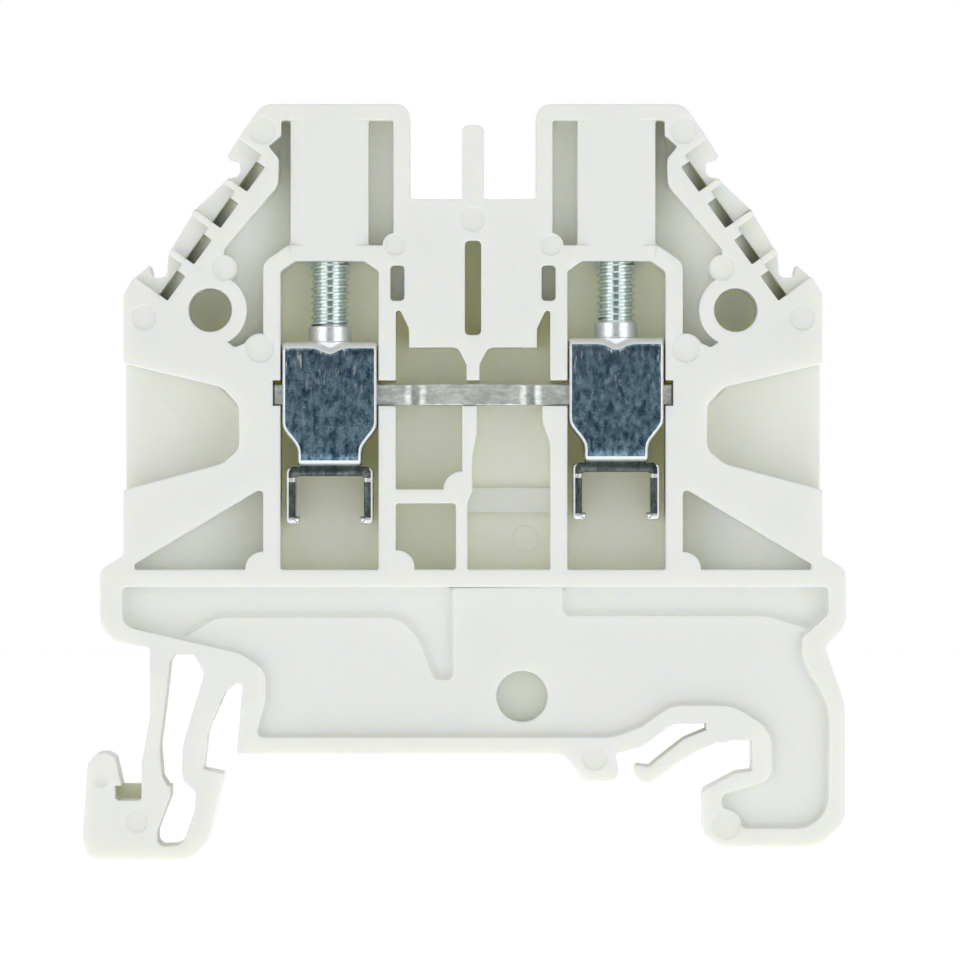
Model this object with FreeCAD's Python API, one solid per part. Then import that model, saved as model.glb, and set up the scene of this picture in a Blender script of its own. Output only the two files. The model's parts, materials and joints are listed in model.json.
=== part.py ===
"""Feed-through terminal block for a 35 mm top-hat rail.

Millimetres, +Z up. The origin is on the rail seat, on the rail's centre line, halfway through the
block's thickness. X runs across the rail, from the movable foot (-X) to the fixed hook (+X). Y runs
along the rail: the moulding is open towards -Y, and its back wall is at +Y.
"""

import FreeCAD, Part
import math
import os

os.makedirs("parts", exist_ok=True)
V = FreeCAD.Vector

# ---------------------------------------------------------------- driving dimensions
# Rail (EN 60715, TH 35)
rail_width = 35.0
rail_sheet = 1.0
rail_play = 0.05

# Moulding: overall
thickness = 5.1            # pitch of the block along the rail
back_wall = 0.6
rib = 1.1                  # walls of the clamp chambers
centre_x = -0.35           # centre line of the upper body, from the rail's centre line
body_half = 22.4           # half the width of the upper body
flange_half = 23.9         # half the width of the ledge above the feet
top_z = 41.7               # top of the towers
notch_z = 35.6             # floor of the notch between the towers
ledge_z = 12.75            # top of the ledge above the feet
shelf_z = 10.75            # underside of the rib that closes the chambers
shelf = 1.1

# Towers and chambers
screw_offset = 9.2         # screw axis, from the centre line
tower_inner = 4.05         # inner face of a tower, from the centre line
tower_outer = 13.5         # where a tower's top ends
tower_face = 5.0           # width of the front wall over the screw shaft
face_top_z = 40.65         # top of the pockets beside that wall
face_round = 0.9           # how far its edges fall away, and how deep
face_fall = 0.35
chamber_width = 6.3
chamber_top_z = 31.65
room_chamfer = 0.95         # its upper corners
guide_radius = 1.8         # screwdriver shaft
guide_floor_z = 35.5
head_room_radius = 2.0     # wider room that the screw head turns in
ceiling = 1.1              # plastic between the chamber and the head room
neck_radius = 1.4          # hole in it for the thread

# Openings of the moulding
wire_z = 21.0              # axis of the wire entries
wire_radius = 1.35
funnel_end = 15.0          # inner end of a funnel, from the centre line
funnel_mouth = 8.0         # height of a funnel at the side of the body
funnel_throat = 3.6
funnel_depth = 3.9         # depth of a funnel at its mouth
shoulder_depth = 2.2
core_height = 5.05         # of the triangular core under a funnel, at its inner end
side_wall = 0.7            # plastic left at the side of the body
ladder_start = 20.15       # lowest marker window, from the centre line
ladder_start_z = 29.5
ladder_angle = 53.9        # slope of the ladder, degrees
ladder_windows = 4
ladder_pitch = 2.885
ladder_rib = 0.45
window_length = 1.95
window_width = 0.7
cell_depth = 0.9           # marker cells outboard of their windows
window_shallow = 1.1       # depth of a window at its upper and at its lower end
window_deep = 3.2
side_window_depth = 2.2    # the windows beside the centre plate
foot_recess = 0.7
recess_round = 0.3         # rounding along the bottom of its wall
channel_depth = 1.2
channel_height = 2.0
channel_round = 0.5
mark_depth = 0.1
socket_radius = 1.4        # alignment sockets in the shoulders
socket_offset = 16.85      # from the centre line
socket_z = 28.5
low_socket_radius = 1.65
low_socket_x = 2.8
low_socket_z = 3.7
low_socket_depth = 2.6
pin_clearance = 0.1
pin_height = 1.2
plate_z = 26.1             # lower edge of the plate over the bar
post_width = 1.4
post_z = 40.35
bridge_offset = 2.4        # cross-connection shafts, from the centre line
bridge_width = 1.3
bridge_depth = 2.6
centre_slot = 0.42         # half the web between the pockets over the bar

# Rail foot, hook and finger
hook_width = 6.0           # from the rail's edge to the hook's outer face
hook_z = -5.95             # bottom of the fixed hook
hook_reach = 3.1           # how far the hook goes under the rail
latch_reach = 1.2          # how far the foot's nose goes under the rail
latch_z = -6.75            # bottom of the foot
leg_top_z = 6.4            # where the outer leg leaves the moulding
leg_root_z = 4.55          # where the inner leg leaves it
leg_bottom_z = -2.0        # where the outer leg meets the foot
outer_leg = 1.3            # thickness of the outer leg
leg_offset = 3.55          # outer leg's outer face, beyond the rail's edge
leg_lean = 0.55            # how far the outer leg leans out at its foot
leg_gusset = 0.3           # widening of the outer leg's inner side at its root
inner_leg_offset = 0.7     # inner leg's root, beyond the rail's edge
inner_leg_low = 0.12       # inner leg's foot, beyond the rail's edge
inner_leg = 1.38           # thickness of the inner leg at its foot
slot_back = 2.0            # end of the rail seat, inside the rail's edge
foot_length = 7.9          # outer end of the foot, beyond the rail's edge
pull_notch = 1.3           # gap for a screwdriver's blade between the leg and the pull
pull_height = 2.1          # of the pull over that gap's floor
seat_boss = 10.2           # start of the boss on the seat, from the finger's root
seat_boss_z = -1.75
seat_rim = 1.1             # rim over the seat
finger_back = 1.9          # finger's root, inside the rail's edge
finger_root_z = 1.75
finger_root_radius = 0.95
finger_play = 0.05
finger_reach = 5.55        # its tip, back from the root
finger_drop = 3.6          # underside of the tip, below the root

# Current bar
bar_half = 12.8
bar_z = 22.4
bar_sheet = 1.35
bar_play = 0.04
bar_end_width = 2.3
bar_middle_width = 3.9
bar_middle_half = 3.3
bar_hole_radius = 0.75

# Cage clamps
cage_width = 6.1
cage_foot_width = 4.1
cage_depth = 4.1
cage_sheet = 0.8
cage_bend = 0.9            # outside radius of its bends
cage_z = 18.45
cage_height = 8.0
collar_radius = 1.5
collar_height = 1.05
right_cage_lift = 0.27     # the right cage hangs this much higher

# Wire guards
guard_sheet = 0.6
guard_width = 3.0
guard_span = 5.6
guard_drop = 3.7
guard_lip = 0.25           # turned-in lips at the legs' ends
guard_lip_height = 0.5

# Screws, M2.5
thread_radius = 1.25
thread_pitch = 0.45
thread_depth = 0.26
thread_play = 0.03
head_radius = 1.7
head_height = 1.5
head_chamfer = 0.25
head_play = 0.25
slot_width = 0.5
slot_depth = 0.8

# ---------------------------------------------------------------- derived places
front = -thickness / 2
back = thickness / 2
floor = back - back_wall                 # bottom of the deepest pockets
screw_y = (front + floor) / 2            # metal parts sit in the middle of the cavity
rail_edge = rail_width / 2
nose_z = -rail_sheet - rail_play         # top of the foot's nose
finger_root_x = rail_edge - finger_back
seat_boss_x = finger_root_x - seat_boss
shelf_top = shelf_z + shelf
chamber_half = chamber_width / 2
slot_low_z = chamber_top_z + 1.0         # bottom of the slots beside the screw shafts
slot_boss = (tower_inner + 0.95, slot_low_z, 0.8)    # round boss in a slot's corner: place and radius
wall_in = screw_offset - chamber_half - rib      # inner face of the inner chamber wall
wall_out = screw_offset + chamber_half + rib     # outer face of the outer chamber wall
bar_top = bar_z + bar_sheet
full_depth = floor - front
cut_over = 1.0                           # how far a cutting tool starts outside the moulding
SIDES = {"left": -1, "right": 1}


# ---------------------------------------------------------------- small tools
def outline(corners):
    """Closed wire in the XZ plane through corners (x, z) or (x, z, radius), each radius a true arc."""
    count = len(corners)
    points = [V(c[0], 0, c[1]) for c in corners]
    leave, arcs = [], []
    for i, corner in enumerate(corners):
        here, before, after = points[i], points[i - 1], points[(i + 1) % count]
        to_before = (before - here).normalize()
        to_after = (after - here).normalize()
        half_angle = to_before.getAngle(to_after) / 2
        radius = corner[2] if len(corner) > 2 else 0
        room = 0.49 * min((before - here).Length, (after - here).Length)
        radius = min(radius, room * math.tan(half_angle))
        if radius < 1e-3 or half_angle > math.pi / 2 - 1e-3:
            leave.append((here, here))
            arcs.append(None)
            continue
        reach = radius / math.tan(half_angle)
        inward = (to_before + to_after).normalize()
        middle = here + inward * (radius / math.sin(half_angle) - radius)
        start, end = here + to_before * reach, here + to_after * reach
        leave.append((start, end))
        arcs.append(Part.Arc(start, middle, end).toShape())
    edges = []
    for i in range(count):
        if arcs[i]:
            edges.append(arcs[i])
        start, end = leave[i][1], leave[(i + 1) % count][0]
        if (end - start).Length > 1e-6:
            edges.append(Part.LineSegment(start, end).toShape())
    return Part.Wire(edges)


def slab(corners, y_from, y_to):
    """The outline's area between two depths."""
    face = Part.Face(outline(corners))
    face.translate(V(0, y_from, 0))
    return face.extrude(V(0, y_to - y_from, 0))


def pocket(corners, depth):
    """Cutting tool that goes a depth into the open face."""
    return slab(corners, front - cut_over, front + depth)


def dished(corners, depth, radius):
    """Cutting tool like pocket(), with its floor rounded up into its wall."""
    tool = pocket(corners, depth)
    rim = [e for e in tool.Edges if all(abs(v.Point.y - front - depth) < 1e-6 for v in e.Vertexes)]
    return tool.makeFillet(radius, rim)


def box(x_from, x_to, y_from, y_to, z_from, z_to):
    return Part.makeBox(x_to - x_from, y_to - y_from, z_to - z_from, V(x_from, y_from, z_from))


def rectangle(x_from, x_to, z_from, z_to, radius=0.0):
    return [(x_from, z_from, radius), (x_to, z_from, radius), (x_to, z_to, radius), (x_from, z_to, radius)]


def beyond(distance):
    """X of a place on the foot's side, by how far it lies beyond the rail's edge."""
    return -rail_edge - distance


def placed(side, corners):
    """Corners given as distance from the body's centre line, put on one side of it."""
    return [(centre_x + side * c[0],) + tuple(c[1:]) for c in corners]


def across(x, z, radius, y_from, y_to):
    """Cylinder along Y."""
    return Part.makeCylinder(radius, y_to - y_from, V(x, y_from, z), V(0, 1, 0))


def upright(x, radius, z_from, z_to):
    """Cylinder along Z on a screw's axis."""
    return Part.makeCylinder(radius, z_to - z_from, V(x, screw_y, z_from))


def screw_x(side):
    return centre_x + side * screw_offset


def cage_base(side):
    """Underside of a cage at rest."""
    return cage_z + (right_cage_lift if side > 0 else 0)


def sloped_pocket(side, corners, near, near_depth, far, far_depth):
    """Cutting tool whose floor slopes between two distances from the centre line."""
    deepest = max(near_depth, far_depth)
    wedge = Part.makePolygon([V(centre_x + side * u, front + d, 0) for u, d in (
        (near, -cut_over), (near, near_depth), (far, far_depth), (far, -cut_over), (near, -cut_over))])
    prism = Part.Face(wedge).extrude(V(0, 0, 2 * top_z))
    prism.translate(V(0, 0, -top_z))
    return pocket(placed(side, corners), deepest).common(prism)


# ---------------------------------------------------------------- housing: outside
def shoulder_and_tower(side):
    """Corners from the tower's foot in the notch, over its top, down the stepped shoulder to the ledge."""
    return placed(side, [
        (tower_inner, notch_z, 0.3),
        (tower_inner, top_z, 0.9),
        (tower_outer, top_z, 1.2),
        (tower_outer + 1.9, top_z - 2.7, 0.6),
        (tower_outer + 2.3, top_z - 3.4, 0.1),
        (tower_outer + 1.45, top_z - 3.6, 0.45),
        (tower_outer + 1.45, top_z - 4.6, 0.45),
        (tower_outer + 2.2, top_z - 4.75, 0.1),
        (tower_outer + 4.3, top_z - 6.7, 2.5),
        (body_half - 2.85, top_z - 9.6, 1.5),
        (body_half - 2.75, top_z - 11.1, 0.4),
        (body_half - 1.8, top_z - 11.1, 0.3),
        (body_half - 1.65, top_z - 10.3, 0.05),
        (body_half - 0.6, top_z - 11.2, 0.6),
        (body_half, top_z - 12.2, 0.6),
        (body_half, ledge_z, 0.3),
    ])


def housing_outline():
    left = placed(-1, [
        (flange_half, ledge_z - 0.9, 0.9),
        (flange_half, leg_top_z + 0.95, 1.9),
    ]) + [
        (beyond(leg_offset), leg_top_z + 0.45, 0.35),
        (beyond(leg_offset), leg_top_z),
        (beyond(leg_offset - outer_leg - leg_gusset), leg_top_z),
        (beyond(inner_leg_offset), leg_top_z),
        (beyond(0.1 - slot_back), leg_root_z),
        (beyond(-0.4 - slot_back), leg_root_z, 0.3),
        (beyond(-slot_back), 0, 0.1),
    ]
    foot = [
        (seat_boss_x, 0, 0.8),
        (seat_boss_x + 1.45, seat_boss_z, 0.6),
        (seat_boss_x + 3.7, seat_boss_z, 0.6),
        (seat_boss_x + 3.4, 0.05, 0.2),
        (finger_root_x - 5.1, 0.5, 1.5),
        (finger_root_x - 3.2, finger_root_z + 0.2, 1.2),
        (finger_root_x - 0.9, finger_root_z + 0.25, 0),
        (finger_root_x, finger_root_z, 0),
        (finger_root_x + 0.5, 0.9, 0),
        (rail_edge + rail_play, 0.9, 0.1),
        (rail_edge + rail_play, -rail_sheet - rail_play, 0.1),
        (rail_edge - 0.9, -rail_sheet - rail_play - 0.1, 1.0),
        (rail_edge - hook_reach, -2.3, 0.5),
        (rail_edge - hook_reach, hook_z + 0.7, 1.1),
        (rail_edge - hook_reach + 1.2, hook_z, 1.2),
        (rail_edge + hook_width - 1.7, hook_z, 2.0),
        (rail_edge + hook_width, hook_z + 1.65, 1.4),
        (rail_edge + hook_width, 3.2, 3.0),
        (rail_edge + hook_width - 1.3, leg_top_z + 0.5, 0.5),
    ] + placed(1, [
        (flange_half, ledge_z - 4.5, 1.2),
        (flange_half, ledge_z - 0.9, 0.9),
    ])
    left_side = shoulder_and_tower(-1)
    right_side = shoulder_and_tower(1)
    return left_side + left + foot + right_side[::-1]


# ---------------------------------------------------------------- housing: inside
def chamber_pockets(side):
    """The room of one clamp, the screw shaft over it, and the pockets beside the shaft's wall."""
    x = screw_x(side)
    room = [
        (screw_offset - chamber_half, shelf_top, 0.15),
        (screw_offset + chamber_half, shelf_top, 0.15),
        (screw_offset + chamber_half, chamber_top_z - 0.7 * room_chamfer, 0.3),
        (screw_offset + chamber_half - room_chamfer, chamber_top_z, 0.3),
        (screw_offset - chamber_half + room_chamfer, chamber_top_z, 0.3),
        (screw_offset - chamber_half, chamber_top_z - 0.7 * room_chamfer, 0.3),
    ]
    side_slot = pocket(placed(side, [
        (tower_inner + 1.05, slot_low_z, 0.2),
        (screw_offset - tower_face / 2, slot_low_z, 0.2),
        (screw_offset - tower_face / 2, face_top_z, 0.15),
        (tower_inner + 1.05, face_top_z, 0.15),
    ]), shoulder_depth)
    u, z, radius = slot_boss
    boss = across(centre_x + side * u, z, radius, front, back)
    falls = []
    for edge in (-1, 1):
        inner = screw_offset + edge * (tower_face / 2 - face_round)
        outer = screw_offset + edge * (tower_face / 2 + 0.1)
        strip = rectangle(inner, outer, slot_low_z, face_top_z)
        falls.append(sloped_pocket(side, strip, inner, 0, outer, face_fall))
    return falls + [
        pocket(placed(side, room), full_depth),
        side_slot.cut(boss),
        upright(x, neck_radius, chamber_top_z - 0.1, top_z),
        upright(x, head_room_radius, chamber_top_z + ceiling, guide_floor_z),
        upright(x, guide_radius, guide_floor_z - 0.1, top_z + cut_over),
    ]


def ladder_point(along, outward, radius=0.0):
    """A corner on a shoulder's marker ladder, from the outer lower corner of its lowest window."""
    slope = math.radians(ladder_angle)
    u = ladder_start - along * math.cos(slope) + outward * math.sin(slope)
    z = ladder_start_z + along * math.sin(slope) + outward * math.cos(slope)
    return (u, z, radius)


def ladder_pockets(side):
    """Windows that marker tags clip in, and the shallow cells from each window to the edge."""
    cuts = []
    for step in range(ladder_windows):
        low = step * ladder_pitch
        window = [
            ladder_point(low, -window_width, 0.1),
            ladder_point(low, 0, 0.05),
            ladder_point(low + window_length, 0, 0.05),
            ladder_point(low + window_length, -window_width, 0.1),
        ]
        cell_top = low + ladder_pitch - ladder_rib
        cell = [ladder_point(low, -0.02), ladder_point(low, 4.0),
                ladder_point(cell_top, 4.0), ladder_point(cell_top, -0.02)]
        low_end, high_end = window[1][0], window[3][0]
        cuts.append(sloped_pocket(side, window, high_end, window_shallow, low_end, window_deep))
        cuts.append(pocket(placed(side, cell), cell_depth))
    return cuts


def shoulder_pockets(side):
    """Long pocket between the shoulder and the screw shaft, round its bosses, and the alignment socket."""
    face_edge = screw_offset + tower_face / 2
    outer = socket_offset - 0.9
    corners = [
        (face_edge, face_top_z, 0.15),
        (face_edge, chamber_top_z + 1.1, 0.3),
        (wall_out, chamber_top_z - 0.1, 0.9),
        (wall_out, socket_z - 1.6, 0.1),
        (outer - 0.7, socket_z - 2.4, 0.3),
        (outer, socket_z - 1.9, 0.3),
        (outer, chamber_top_z + 0.75, 0.3),
        (face_edge + 0.8, top_z - 5.2, 1.2),
        (face_edge + 0.75, top_z - 3.5, 0.6),
        (face_edge + 1.4, top_z - 2.7, 0.1),
        (face_edge + 0.6, top_z - 2.0, 0.2),
        (face_edge + 0.6, face_top_z, 0.15),
    ]
    cut = sloped_pocket(side, corners, face_edge, shoulder_depth + 0.8, outer, shoulder_depth - 0.8)
    bosses = [(socket_offset, socket_z, socket_radius + 0.95),
              (outer, chamber_top_z - 0.45, 0.85), (wall_out + 0.2, socket_z - 2.55, 1.05)]
    for u, z, radius in bosses:
        cut = cut.cut(across(centre_x + side * u, z, radius, front - cut_over, back))
    socket = across(centre_x + side * socket_offset, socket_z, socket_radius, front - cut_over, floor)
    return [cut, socket]


def wire_pockets(side):
    """Funnel that guides a wire in, its hole to the clamp, and the triangular core under it."""
    mouth_low, mouth_high = wire_z - funnel_mouth / 2, wire_z + funnel_mouth / 2
    throat_low, throat_high = wire_z - funnel_throat / 2, wire_z + funnel_throat / 2
    over = body_half + cut_over
    flare = cut_over * (funnel_mouth - funnel_throat) / (body_half - funnel_end) / 2
    funnel = [
        (over, mouth_high + flare, 0),
        (over, mouth_low - flare, 0),
        (funnel_end + 1.1, throat_low - 0.55, 1.2),
        (funnel_end, throat_low + 0.4, 0.9),
        (funnel_end, throat_high - 0.4, 0.9),
        (funnel_end + 1.1, throat_high + 0.75, 1.2),
    ]
    core = [
        (body_half - side_wall, shelf_top, 0.1),
        (wall_out, shelf_top, 0.1),
        (wall_out, shelf_top + core_height, 0.3),
        (wall_out + 0.4, shelf_top + core_height, 0.3),
        (body_half - side_wall, shelf_top + 0.35, 0.2),
    ]
    core_cut = sloped_pocket(side, core, wall_out, full_depth - 0.7, body_half, 1.2)
    boss = across(centre_x + side * (wall_out + 0.05), shelf_top + 0.05, 1.1, front - cut_over, back)
    axis_start = V(screw_x(side), screw_y, wire_z)
    hole = Part.makeCylinder(wire_radius, funnel_end - screw_offset, axis_start, V(side, 0, 0))
    return [
        sloped_pocket(side, funnel, funnel_end, full_depth - 0.3, over, funnel_depth),
        hole,
        core_cut.cut(boss),
    ]


def middle_pockets():
    """Everything between the two clamp chambers, and the slots that hold the current bar."""
    left, right = centre_x - wall_in, centre_x + wall_in
    cuts = []
    for side in SIDES.values():
        upper = [
            (centre_slot, bar_top, 0),
            (wall_in, bar_top, 0),
            (wall_in, plate_z + 2.35, 0.3),
            (wall_in - 0.3, plate_z + 2.35, 0.2),
            (wall_in - 0.85, plate_z + 1.2, 0.6),
            (wall_in - 0.85, plate_z, 0.05),
            (1.0, plate_z, 0.5),
            (centre_slot, plate_z - 1.1, 0.4),
        ]
        window = rectangle(wall_in - 0.55, wall_in + 0.35, plate_z + 3.0, plate_z + 5.25, 0.25)
        cuts += [pocket(placed(side, upper), full_depth), pocket(placed(side, window), side_window_depth)]
        shaft = centre_x + side * bridge_offset
        cuts.append(box(shaft - bridge_width / 2, shaft + bridge_width / 2, screw_y - bridge_depth / 2,
                        screw_y + bridge_depth / 2, plate_z - 0.1, notch_z + cut_over))
        bar_slot = rectangle(0, bar_half + bar_play, bar_z - bar_play, bar_top + bar_play + 0.2)
        cuts.append(pocket(placed(side, bar_slot), full_depth - 0.1))
    half_slot = centre_slot + 0.1
    slot = rectangle(centre_x - half_slot, centre_x + half_slot, plate_z + 0.8, chamber_top_z + 1.3, 0.3)
    cuts.append(pocket(slot, full_depth))

    divider = centre_x - 0.7
    rib_low, rib_high = shelf_top + 4.25, shelf_top + 5.15
    upper_left = pocket(rectangle(left, divider, rib_high, bar_z, 0.1), full_depth)
    upper_left = upper_left.cut(across(divider - 0.05, rib_high, 1.15, front - cut_over, back))
    lower_left = pocket(rectangle(left, divider - 0.4, shelf_top, rib_low, 0.2), full_depth)
    lower_left = lower_left.cut(across(left + 0.1, shelf_top + 0.15, 1.1, front - cut_over, back))
    wide = [
        (centre_x - 0.35, shelf_top, 0.1),
        (right, shelf_top, 0.1),
        (right, bar_z - 2.5, 0.6),
        (right - 0.5, bar_z - 1.1, 0.5),
        (right - 0.5, bar_z, 0),
        (centre_x + 0.25, bar_z, 0),
        (centre_x + 0.25, bar_z - 1.8, 1.0),
        (centre_x - 0.05, bar_z - 3.4, 1.0),
        (centre_x - 0.05, rib_high - 0.2, 0.5),
        (centre_x - 0.35, rib_high - 0.8, 0.5),
    ]
    step = box(left, right, floor - 0.6, back, shelf_top + 3.65, shelf_top + 5.25)
    cuts += [upper_left, lower_left, pocket(wide, full_depth).cut(step)]
    return cuts


def foot_pockets():
    """The face over the rail, lower than its rim, with two deeper channels under the shelf."""
    rim_left = centre_x - flange_half + 1.4
    rim_right = centre_x + flange_half - 1.1
    rim_z = shelf_z - 2.5
    hook = rail_edge + hook_width
    root_rim = finger_root_z + 1.4
    recess = [
        (rim_left, shelf_z, 0.4),
        (rim_left, rim_z, 1.0),
        (beyond(-slot_back - 0.2), leg_top_z + 0.1, 1.5),
        (beyond(-slot_back - 1.85), leg_top_z - 1.0, 1.2),
        (beyond(-slot_back - 1.85), leg_root_z - 1.05, 2.0),
        (beyond(-slot_back - 1.2), seat_rim, 0.4),
        (finger_root_x - 7.0, seat_rim, 3.0),
        (finger_root_x - 5.2, seat_rim + 0.65, 2.0),
        (finger_root_x - 3.2, root_rim, 2.0),
        (rail_edge - 1.2, root_rim, 2.5),
        (rail_edge + 1.3, root_rim - 1.55, 2.0),
        (rail_edge + 1.3, nose_z - 0.55, 1.0),
        (rail_edge - 1.9, nose_z - 1.55, 0.4),
        (rail_edge - 1.9, hook_z + 2.55, 0.35),
        (rail_edge - 0.8, hook_z + 2.15, 0.8),
        (rail_edge - 0.6, hook_z + 1.2, 0.35),
        (hook - 1.1, hook_z + 1.2, 2.1),
        (hook - 1.0, leg_top_z - 3.4, 3.0),
        (hook - 2.75, leg_top_z - 0.2, 1.5),
        (hook - 2.75, rim_z - 0.75, 0.5),
        (rim_right - 1.0, rim_z - 0.15, 0.5),
        (rim_right, rim_z + 0.75, 0.8),
        (rim_right, shelf_z, 0.4),
    ]
    channel_z = shelf_z - channel_height
    left_channel = [
        (rim_left, shelf_z, 0.6),
        (rim_left, rim_z, 1.0),
        (beyond(1.3), rim_z - 0.75, 0.6),
        (beyond(-0.7), channel_z, 2.0),
        (centre_x - 4.85, channel_z, 1.5),
        (centre_x - 3.55, channel_z - 1.25, 2.0),
        (centre_x - 2.5, channel_z - 4.0, 0.55),
        (centre_x - 1.25, channel_z - 4.0, 0.55),
        (centre_x - 1.25, shelf_z, 0.6),
    ]
    right_channel = [
        (centre_x + 5.7, shelf_z, 0.6),
        (centre_x + 5.7, channel_z + 0.1, 0.6),
        (rim_right - 4.0, channel_z + 0.1, 2.0),
        (rim_right - 1.3, rim_z - 0.2, 0.6),
        (rim_right, channel_z + 0.2, 0.8),
        (rim_right, shelf_z, 0.6),
    ]
    return [
        dished(recess, foot_recess, recess_round),
        dished(left_channel, channel_depth, channel_round),
        dished(right_channel, channel_depth, channel_round),
        across(low_socket_x, low_socket_z, low_socket_radius, front - cut_over, front + low_socket_depth),
    ]


def alignment_pins():
    """Short pins on the back wall, each in line with the socket that the next block gives it."""
    places = [(centre_x + side * socket_offset, socket_z, socket_radius) for side in SIDES.values()]
    places.append((low_socket_x, low_socket_z, low_socket_radius))
    return [across(x, z, radius - pin_clearance, back - 0.2, back + pin_height) for x, z, radius in places]


def ejector_marks():
    """Faint round marks that the mould's ejector pins leave on the open face and in one pocket."""
    u, z, radius = slot_boss
    paired = [
        (u, z, radius - 0.15),
        (body_half - 1.3, socket_z - 0.5, 0.8),
        (tower_outer, face_top_z - 0.65, 0.85),
        (socket_offset - 0.9, chamber_top_z - 0.45, 0.8),
        (wall_out + 0.2, socket_z - 2.45, 0.9),
    ]
    marks = [(centre_x + side * u, z, radius) for side in SIDES.values() for u, z, radius in paired]
    marks += [
        (centre_x, notch_z - 1.3, 0.75),
        (seat_boss_x + 2.05, -0.2, 0.8),
        (rail_edge - hook_reach + 1.5, hook_z + 1.45, 0.9),
    ]
    cuts = [across(x, z, radius, front - cut_over, front + mark_depth) for x, z, radius in marks]
    cuts.append(across(centre_x + 3.4, shelf_top + 2.0, 0.8, front - cut_over, floor + mark_depth))
    return cuts


def housing():
    body = slab(housing_outline(), front, back)
    post = rectangle(centre_x - post_width / 2, centre_x + post_width / 2, notch_z - 1, post_z, 0.45)
    body = body.fuse([slab(post, front, back)] + alignment_pins())
    socket_reach = finger_root_radius + finger_play
    socket = across(finger_root_x, finger_root_z, socket_reach, front - cut_over, back + cut_over)
    cuts = [socket] + middle_pockets() + foot_pockets() + ejector_marks()
    for side in SIDES.values():
        cuts += chamber_pockets(side) + ladder_pockets(side) + shoulder_pockets(side) + wire_pockets(side)
    return body.cut(cuts)


# ---------------------------------------------------------------- sprung parts of the moulding
def latch_leg_outer():
    outer, low = leg_offset + leg_lean, leg_bottom_z
    return slab([
        (beyond(leg_offset), leg_top_z),
        (beyond(leg_offset - outer_leg - leg_gusset), leg_top_z),
        (beyond(leg_offset + 0.05 - outer_leg), leg_top_z - 0.4, 0.4),
        (beyond(leg_offset + 0.25 - outer_leg), leg_top_z - 2.4, 1.0),
        (beyond(outer + 0.15 - outer_leg), low + 2.5, 4.0),
        (beyond(outer - outer_leg), low + 0.6, 0.4),
        (beyond(outer - 0.35 - outer_leg), low),
        (beyond(outer), low),
        (beyond(outer), low + 1.4, 3.0),
        (beyond(leg_offset), low + 4.5, 4.0),
    ], front, back)


def latch_leg_inner():
    low = nose_z + 0.2
    return slab([
        (beyond(inner_leg_offset), leg_top_z),
        (beyond(0.1 - slot_back), leg_root_z),
        (beyond(-1.2), leg_root_z - 0.65, 0.5),
        (beyond(-0.15), leg_root_z - 3.05, 3.0),
        (beyond(inner_leg_low), low),
        (beyond(inner_leg_low + inner_leg), low),
        (beyond(inner_leg_low + inner_leg - 0.05), low + 1.45, 3.0),
        (beyond(inner_leg_offset - 0.65), leg_top_z - 1.2, 0.8),
    ], front, back)


def latch_foot():
    """Movable rail foot: a nose under the rail's edge, and an upright hook that a screwdriver pulls."""
    outer, low, bottom = leg_offset + leg_lean, leg_bottom_z, latch_z
    notch = outer + pull_notch
    inner_edge = outer - 0.35 - outer_leg
    leg_inside = inner_leg_low + inner_leg
    corners = [
        (beyond(outer), low),
        (beyond(notch), low),
        (beyond(notch + 0.4), low + 1.8, 0.3),
        (beyond(notch + 0.9), low + pull_height, 0.4),
        (beyond(notch + 1.6), low + pull_height, 0.5),
        (beyond(foot_length - 0.35), low + pull_height - 0.7, 0.5),
        (beyond(foot_length), bottom + 1.35, 1.0),
        (beyond(foot_length - 0.4), bottom, 0.7),
        (beyond(0.9), bottom, 1.5),
        (beyond(-0.2), bottom + 1.25, 1.5),
        (beyond(0.15 - latch_reach), nose_z - 0.95, 1.0),
        (beyond(-latch_reach), nose_z - 0.15, 0.1),
        (beyond(inner_leg_low), nose_z + 0.1),
        (beyond(inner_leg_low), nose_z + 0.2),
        (beyond(leg_inside), nose_z + 0.2),
        (beyond(leg_inside - 0.05), nose_z - 0.65, 0.5),
        (beyond(0.6), nose_z - 1.35, 0.5),
        (beyond(0.7), bottom + 3.15, 1.5),
        (beyond(1.45), bottom + 0.95, 0.8),
        (beyond(3.1), bottom + 0.85, 0.8),
        (beyond(3.1), bottom + 1.85, 1.0),
        (beyond(inner_edge - 0.2), low - 0.7, 0.5),
        (beyond(inner_edge - 0.2), low, 0.05),
        (beyond(inner_edge), low),
    ]
    pit = [(beyond(notch + 0.4), low - 0.95, 0.25), (beyond(outer), low - 0.95, 0.25),
           (beyond(outer), low + 0.2), (beyond(notch), low + 0.2), (beyond(notch), low), (beyond(notch + 0.4), low)]
    cuts = [pocket(pit, full_depth)]
    for out, up, radius in ((foot_length - 1.2, 5.05, 0.4), (foot_length - 3.5, 2.45, 0.7)):
        cuts.append(across(beyond(out), bottom + up, radius, front - cut_over, front + mark_depth))
    return slab(corners, front, back).cut(cuts)


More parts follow.
